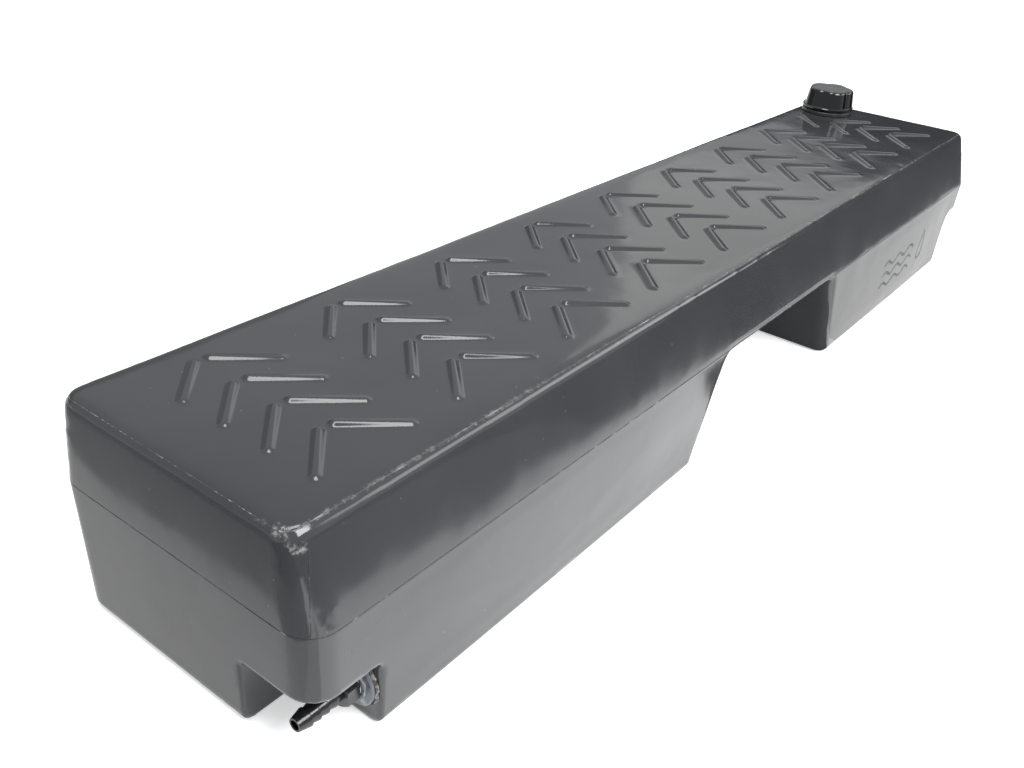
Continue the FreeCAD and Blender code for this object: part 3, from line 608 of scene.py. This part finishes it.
def tank_plastic():
    """Charcoal polyethylene: cloudy colour, soft gloss, sink marks, fine scratches, specks and scuffs, and a
    painted highlight on the near top corner.
    """
    n = Nodes("tank_plastic")
    cloud = n.noise(5, 4)
    colour = n.mix(cloud, (0.018, 0.019, 0.021), (0.042, 0.043, 0.045))
    specks = n.ramp(n.noise(300, 1), 0.80, 0.82)
    grit = n.noise(260, 6, 0.7)
    streak = n.noise(1, 4, 0.6, n.stretched((14, 260, 260)))
    torn = n.ramp(n.math("ADD", n.math("MULTIPLY", grit, 0.6), n.math("MULTIPLY", streak, 0.4)), 0.42, 0.62)
    scuffed = n.math("MULTIPLY", n.attribute("scuff"), torn)
    broken = n.ramp(n.noise(420, 5, 0.7), 0.40, 0.62, 0.35, 1.0)
    # Painted highlight on the near corner, joined below with the flash line's real scuffs.
    corner_highlight_mask = n.math("MULTIPLY", n.attribute("corner_highlight"), broken)
    wear_and_highlight = n.math("MAXIMUM", n.ramp(scuffed, 0.10, 0.75), n.ramp(corner_highlight_mask, 0.15, 0.8))
    colour = n.mix(specks, colour, (0.12, 0.12, 0.12))
    colour = n.mix(wear_and_highlight, colour, (0.24, 0.235, 0.23))
    n.link(colour, n.shader.inputs["Base Color"])
    haze = n.ramp(n.noise(9, 5, 0.6), 0.35, 0.7, 0.10, 0.15)
    scratch = n.ramp(n.noise(1, 2, 0.5, n.stretched((30, 700, 700))), 0.70, 0.78, 0.0, 0.05)
    rough = n.math("ADD", n.math("ADD", haze, scratch), n.math("MULTIPLY", wear_and_highlight, 0.3))
    n.link(rough, n.shader.inputs["Roughness"])
    sinks = n.relief(n.noise(16, 2), 0.35, 0.0012)
    peel = n.relief(n.noise(330, 2), 0.008, 0.0004, sinks)
    tear = n.relief(wear_and_highlight, 0.25, 0.0004, peel)
    n.link(tear, n.shader.inputs["Normal"])
    return n.material


def dull_mark():
    """The moulded emblem: the tank's own plastic, a little duller."""
    n = Nodes("emblem_plastic")
    n.link(n.mix(n.noise(30, 3), (0.022, 0.023, 0.025), (0.036, 0.037, 0.039)), n.shader.inputs["Base Color"])
    n.link(n.ramp(n.noise(120, 3), 0.3, 0.7, 0.35, 0.5), n.shader.inputs["Roughness"])
    n.link(n.relief(n.noise(500, 3), 0.2, 0.0003), n.shader.inputs["Normal"])
    return n.material


def seam_plastic():
    """The dull line where the two mould halves met, its dark colour a painted shade of the line's small step.
    """
    n = Nodes("seam_plastic")
    # Painted shade: the line is darker than the tank, for the shade in its small step.
    colour = n.mix(n.ramp(n.noise(120, 4), 0.55, 0.75), (0.012, 0.012, 0.013), (0.16, 0.16, 0.16))
    n.link(colour, n.shader.inputs["Base Color"])
    n.link(n.ramp(n.noise(200, 3), 0.3, 0.7, 0.35, 0.6), n.shader.inputs["Roughness"])
    n.link(n.relief(n.noise(900, 3), 0.3, 0.0003), n.shader.inputs["Normal"])
    return n.material


def flash_plastic():
    """The trimmed flash: pale and ragged where the knife and wear have whitened it."""
    n = Nodes("flash_plastic")
    pale = n.ramp(n.noise(1, 5, 0.65, n.stretched((60, 220, 220))), 0.48, 0.72)
    colour = n.mix(pale, (0.035, 0.035, 0.037), (0.30, 0.30, 0.31))
    n.link(colour, n.shader.inputs["Base Color"])
    n.link(n.ramp(pale, 0, 1, 0.3, 0.55), n.shader.inputs["Roughness"])
    n.link(n.relief(n.noise(1200, 4), 0.4, 0.0003), n.shader.inputs["Normal"])
    return n.material


def gloss_plastic(name, dark, light, roughness, scale=40.0):
    """Moulded plastic with faint clouding and fine swirls."""
    n = Nodes(name)
    n.link(n.mix(n.noise(scale, 4), dark, light), n.shader.inputs["Base Color"])
    swirls = n.ramp(n.noise(scale * 2.5, 5, 0.6), 0.3, 0.75, roughness, roughness + 0.12)
    n.link(swirls, n.shader.inputs["Roughness"])
    n.link(n.relief(n.noise(scale * 22, 3), 0.12, 0.0003), n.shader.inputs["Normal"])
    return n.material


def cap_plastic():
    """Glossy black plastic, dulled and painted paler on its upward faces as a painted reflection of the
    bright backdrop.
    """
    n = Nodes("cap_plastic")
    facing = n.tree.nodes.new("ShaderNodeSeparateXYZ")
    n.link(n.tree.nodes.new("ShaderNodeNewGeometry").outputs["Normal"], facing.inputs["Vector"])
    upward = n.ramp(facing.outputs["Z"], 0.6, 0.97)
    # Painted reflection: upward faces are painted paler, and made rougher.
    painted_top_sheen = n.math("MULTIPLY", upward, n.ramp(n.noise(90, 5, 0.6), 0.25, 0.6, 0.6, 1.0))
    gloss = n.mix(n.noise(40, 4), (0.002, 0.002, 0.0022), (0.005, 0.005, 0.0055))
    n.link(n.mix(painted_top_sheen, gloss, (0.055, 0.055, 0.055)), n.shader.inputs["Base Color"])
    n.link(n.ramp(painted_top_sheen, 0.0, 1.0, 0.08, 0.5), n.shader.inputs["Roughness"])
    n.link(n.relief(n.noise(800, 3), 0.1, 0.0003), n.shader.inputs["Normal"])
    return n.material


def bead_plastic():
    """Black plastic that was squeezed out, torn, and frosted pale where it cooled."""
    n = Nodes("bead_plastic")
    frost = n.ramp(n.noise(220, 5, 0.7), 0.45, 0.62)
    n.link(n.mix(frost, (0.018, 0.018, 0.019), (0.30, 0.29, 0.27)), n.shader.inputs["Base Color"])
    n.link(n.ramp(frost, 0, 1, 0.25, 0.6), n.shader.inputs["Roughness"])
    n.link(n.relief(n.noise(700, 5, 0.7), 0.8, 0.0006), n.shader.inputs["Normal"])
    return n.material


def boss_plastic():
    """Pale blue-grey polyethylene with white smears from the weld."""
    n = Nodes("boss_plastic")
    smear = n.ramp(n.noise(1, 4, 0.6, n.stretched((300, 90, 40))), 0.56, 0.72)
    base = n.mix(n.noise(60, 3), (0.05, 0.054, 0.064), (0.12, 0.13, 0.15))
    n.link(n.mix(smear, base, (0.36, 0.38, 0.44)), n.shader.inputs["Base Color"])
    n.link(n.ramp(n.noise(90, 4), 0.3, 0.7, 0.22, 0.42), n.shader.inputs["Roughness"])
    n.link(n.relief(n.noise(300, 4), 0.35, 0.0005), n.shader.inputs["Normal"])
    return n.material


def paint(obj, material):
    obj.data.materials.clear()
    obj.data.materials.append(material)


# Weld bead

BEAD_TURNS, BEAD_RINGS = 140, 9
BEAD_CLEARANCE = 0.02 * MM
BEAD_ROOT = 0.4 * MM
LEAST_SPILL = 0.7 * MM


def make_bead():
    """The ragged ring of plastic that the weld pushed out round the boss."""
    inner = (boss_high.y - boss_low.y) / 2 + BEAD_CLEARANCE
    verts = []
    for i in range(BEAD_TURNS):
        angle = 2 * math.pi * i / BEAD_TURNS
        out = Vector((0, math.cos(angle), math.sin(angle)))
        seed = out * 3.0
        spill = 1.6 * MM + 1.2 * MM * noise.noise(seed * 1.3) + 0.9 * MM * noise.noise(seed * 6)
        spill = max(LEAST_SPILL, spill)
        crest = 2.4 * MM + 1.0 * MM * noise.noise(seed * 2.2 + Vector((7, 0, 0)))
        crest += 0.7 * MM * noise.noise(seed * 9)
        for k in range(BEAD_RINGS):
            t = k / (BEAD_RINGS - 1)
            rise = math.sin(math.pi * min(1.0, 0.12 + t * 0.88)) ** 0.7 if k < BEAD_RINGS - 1 else 0.0
            jag = 0.25 * MM * noise.noise(out * 40 + Vector((t * 9, 0, 0)))
            place = OUTLET + out * (inner + spill * t + (jag if k else 0))
            place.x = NOTCH_WALL - crest * rise - jag * 0.6 + BEAD_CLEARANCE
            verts.append(place)
        verts.append(OUTLET + out * (inner + spill) + Vector((BEAD_ROOT, 0, 0)))
        verts.append(OUTLET + out * inner + Vector((BEAD_ROOT, 0, 0)))
    obj = make_solid("weld_bead_visual", verts, tube_faces(BEAD_TURNS, BEAD_RINGS + 2, True))
    subdivision = obj.modifiers.new("round", "SUBSURF")
    subdivision.levels = subdivision.render_levels = 1
    apply_modifiers(obj)
    smooth(obj)
    paint(obj, bead_plastic())
    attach(obj, "tank")
    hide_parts("outlet_weld_bead")


# The pieces and what they are painted with

# Plain plastics: the slot, its darkest and lightest colour, its roughness and the clouding's scale
NECK = ("neck_plastic", (0.018, 0.018, 0.019), (0.026, 0.026, 0.028), 0.28)
VENT = ("vent_plastic", (0.05, 0.05, 0.052), (0.08, 0.08, 0.082), 0.4)
RUBBER = ("seal_rubber", (0.016, 0.016, 0.016), (0.028, 0.028, 0.028), 0.55, 90)
TAPE = ("sealing_tape", (0.55, 0.55, 0.56), (0.8, 0.8, 0.8), 0.5, 200)
TAIL = ("tail_plastic", (0.005, 0.005, 0.0055), (0.010, 0.010, 0.011), 0.16, 70)

shell = make_shell()
paint(shell, tank_plastic())
add_lines(shell)
make_bead()
paint(nodes["filler_neck"], gloss_plastic(*NECK))
paint(nodes["filler_cap"], cap_plastic())
paint(nodes["vent_cover"], gloss_plastic(*VENT))
rubber = gloss_plastic(*RUBBER)
paint(nodes["cap_seal"], rubber)
paint(nodes["vent_valve"], rubber)
paint(nodes["outlet_boss"], boss_plastic())
paint(nodes["thread_tape"], gloss_plastic(*TAPE))
paint(nodes["hose_tail"], gloss_plastic(*TAIL))


# Floor, backdrop, light and reflection cards

FLOOR_SIZE, FLOOR_GLOW = 40.0, 0.48
BACKDROP_RADIUS, BACKDROP_FOOT, BACKDROP_HEIGHT, BACKDROP_SIDES = 17.0, -0.2, 14.0, 24
CARD_LEVEL = 0.001
# Cards that lie on the floor: the outline, and the strength of each colour
FLOOR_CARDS = {
    "front_card_near": ([(-0.9, -0.42), (-3.0, -1.6), (-3.0, -4), (0, -4), (0, -0.40)], (0.27, 0.27, 0.29)),
    "front_card_far": ([(0.0, -0.40), (0.0, -4.0), (5, -4.0), (5, -0.34), (0.6, -0.34)], (0.05, 0.05, 0.055)),
    "far_front_card": ([(0.24, -0.135), (0.24, -0.33), (2.5, -0.33), (2.5, -0.135)], (1.3, 1.3, 1.3)),
    "near_low_card": ([(-0.66, -0.03), (-0.66, 1.0), (-0.78, 1.0), (-0.78, -0.25)], (1.0, 1.0, 1.0)),
    "corner_card": ([(-0.66, -0.03), (-0.78, -0.25), (-0.80, -0.42), (-0.66, -0.14)], (1.35, 1.35, 1.35)),
    "near_card_step": ([(-0.78, -0.25), (-0.78, 1.0), (-0.90, 1.0), (-0.90, -0.42)], (0.42, 0.42, 0.43)),
    "near_card_right": ([(-0.90, -0.42), (-0.90, 0.02), (-3.0, 0.9), (-3.0, -1.6)], (0.15, 0.15, 0.16)),
    "near_card_left": ([(-0.90, 0.02), (-0.90, 2.0), (-3.0, 2.0), (-3.0, 0.9)], (0.34, 0.34, 0.36)),
    # The tunnel card is a dark sheet for the shade on the floor under the tunnel, seen only in reflections.
    "tunnel_card": ([(-0.1, -0.12), (0.03, -0.22), (0.21, -0.22), (0.21, 0.2), (-0.1, 0.2)], (0.1, 0.1, 0.1)),
}
# Upright cards: the two ends of the foot, the lower and the upper level, and the strength of each colour
UPRIGHT_CARDS = {
    "side_card": ((-2.0, 3.0), (2.0, 3.0), 0, 1.75, (0.25, 0.25, 0.26)),
    "back_softbox_low": ((3.3, -1.5), (3.3, 1.95), 1.2, 1.75, (1.05, 1.06, 1.04)),
    "back_softbox_high": ((3.3, -1.5), (3.3, 1.95), 1.75, 2.8, (1.5, 1.51, 1.48)),
    "strip_softbox": ((2.5, -1.35), (1.1, -2.6), 0.8, 1.8, (4.6, 4.6, 4.5)),
}
# A dark triangle past the filler end, whose slanted edge makes the top's dark far corner
FAR_CARD = ([(3.0, 3.05, 0), (3.0, -2.5, 2.42), (3.0, -2.5, 0)], (0.02, 0.025, 0.035))


def flat_object(name, verts, faces, material):
    mesh = bpy.data.meshes.new(name)
    mesh.from_pydata(verts, [], faces)
    obj = new_object(name, mesh)
    paint(obj, material)
    return obj


def floor_material():
    """Even pale grey that glows a little, so that it reads white without hiding the contact shadow."""
    material = bpy.data.materials.new("floor")
    material.use_nodes = True
    inputs = material.node_tree.nodes["Principled BSDF"].inputs
    inputs["Base Color"].default_value = (0.9, 0.9, 0.9, 1)
    inputs["Roughness"].default_value = 0.6
    inputs["Emission Color"].default_value = (1, 1, 1, 1)
    inputs["Emission Strength"].default_value = FLOOR_GLOW
    inputs["Specular IOR Level"].default_value = 0.0
    return material


def glow_material(name, colour):
    material = bpy.data.materials.new(name)
    material.use_nodes = True
    tree = material.node_tree
    tree.nodes.clear()
    glow = tree.nodes.new("ShaderNodeEmission")
    glow.inputs["Color"].default_value = (*colour, 1)
    output = tree.nodes.new("ShaderNodeOutputMaterial")
    tree.links.new(glow.outputs["Emission"], output.inputs["Surface"])
    return material


def hide_from_light(obj):
    obj.visible_diffuse = False
    obj.visible_shadow = False
    obj.visible_transmission = False
    obj.visible_volume_scatter = False


def make_floor():
    half = FLOOR_SIZE / 2
    corners = [(-half, -half, 0), (half, -half, 0), (half, half, 0), (-half, half, 0)]
    flat_object("floor", corners, [(0, 1, 2, 3)], floor_material())


def reflection_card(name, corners, colour):
    """A plane that only reflections see."""
    card = flat_object(name, corners, [tuple(range(len(corners)))], glow_material(name, colour))
    hide_from_light(card)
    card.visible_camera = False


def make_cards():
    for name, (outline, colour) in FLOOR_CARDS.items():
        reflection_card(name, [(x, y, CARD_LEVEL) for x, y in outline], colour)
    reflection_card("far_card", *FAR_CARD)
    for name, (start, end, low, high, colour) in UPRIGHT_CARDS.items():
        reflection_card(name, [(*start, low), (*end, low), (*end, high), (*start, high)], colour)


def make_backdrop():
    """A white wall and ceiling round the floor, which only the camera sees."""
    ring = []
    for i in range(BACKDROP_SIDES):
        turn = 2 * math.pi * i / BACKDROP_SIDES
        ring.append((BACKDROP_RADIUS * math.cos(turn), BACKDROP_RADIUS * math.sin(turn)))
    verts = [(x, y, z) for z in (BACKDROP_FOOT, BACKDROP_HEIGHT) for x, y in ring]
    faces = []
    for i in range(BACKDROP_SIDES):
        j = (i + 1) % BACKDROP_SIDES
        faces.append((i, j, BACKDROP_SIDES + j, BACKDROP_SIDES + i))
    faces.append(tuple(range(BACKDROP_SIDES, 2 * BACKDROP_SIDES)))
    wall = flat_object("backdrop", verts, faces, glow_material("backdrop", (1.0, 1.0, 1.0)))
    hide_from_light(wall)
    wall.visible_glossy = False


def area_light(name, place, target, width, height, power):
    light = bpy.data.lights.new(name, "AREA")
    light.shape = "RECTANGLE"
    light.size, light.size_y = width, height
    light.energy = power
    obj = bpy.data.objects.new(name, light)
    bpy.context.scene.collection.objects.link(obj)
    obj.location = place
    obj.rotation_mode = "QUATERNION"
    obj.rotation_quaternion = (Vector(target) - Vector(place)).to_track_quat("-Z", "Y")


def light_world():
    world = bpy.data.worlds.new("studio")
    bpy.context.scene.world = world
    world.use_nodes = True
    background = world.node_tree.nodes["Background"]
    background.inputs["Color"].default_value = (0.95, 0.97, 1.0, 1)
    background.inputs["Strength"].default_value = 0.64


make_floor()
area_light("key", (-0.3, -2.0, 2.2), (-0.2, -0.5, 0.0), 1.8, 1.4, 112)
area_light("overhead", (-0.65, 0.1, 2.3), (-0.65, 0.1, 0.0), 1.7, 0.6, 30)
make_cards()
make_backdrop()
light_world()
bpy.context.scene.view_settings.view_transform = "Standard"


# Camera

CAMERA_PLACE = Vector((-0.9713, -0.4902, 0.5744))
YAW, PITCH, ROLL = (math.radians(a) for a in (35.733, -29.545, 4.433))
LENS = 35.48


def make_camera():
    forward = Vector((math.cos(PITCH) * math.cos(YAW), math.cos(PITCH) * math.sin(YAW), math.sin(PITCH)))
    right = forward.cross(Vector((0, 0, 1))).normalized()
    up = right.cross(forward)
    rolled_right = math.cos(ROLL) * right + math.sin(ROLL) * up
    rolled_up = -math.sin(ROLL) * right + math.cos(ROLL) * up
    data = bpy.data.cameras.new("camera")
    data.lens = LENS
    data.sensor_width = 36
    data.clip_start = 0.01
    camera = bpy.data.objects.new("camera", data)
    bpy.context.scene.collection.objects.link(camera)
    turn = Matrix((rolled_right, rolled_up, -forward)).transposed()
    camera.matrix_world = Matrix.Translation(CAMERA_PLACE) @ turn.to_4x4()
    bpy.context.scene.camera = camera


make_camera()
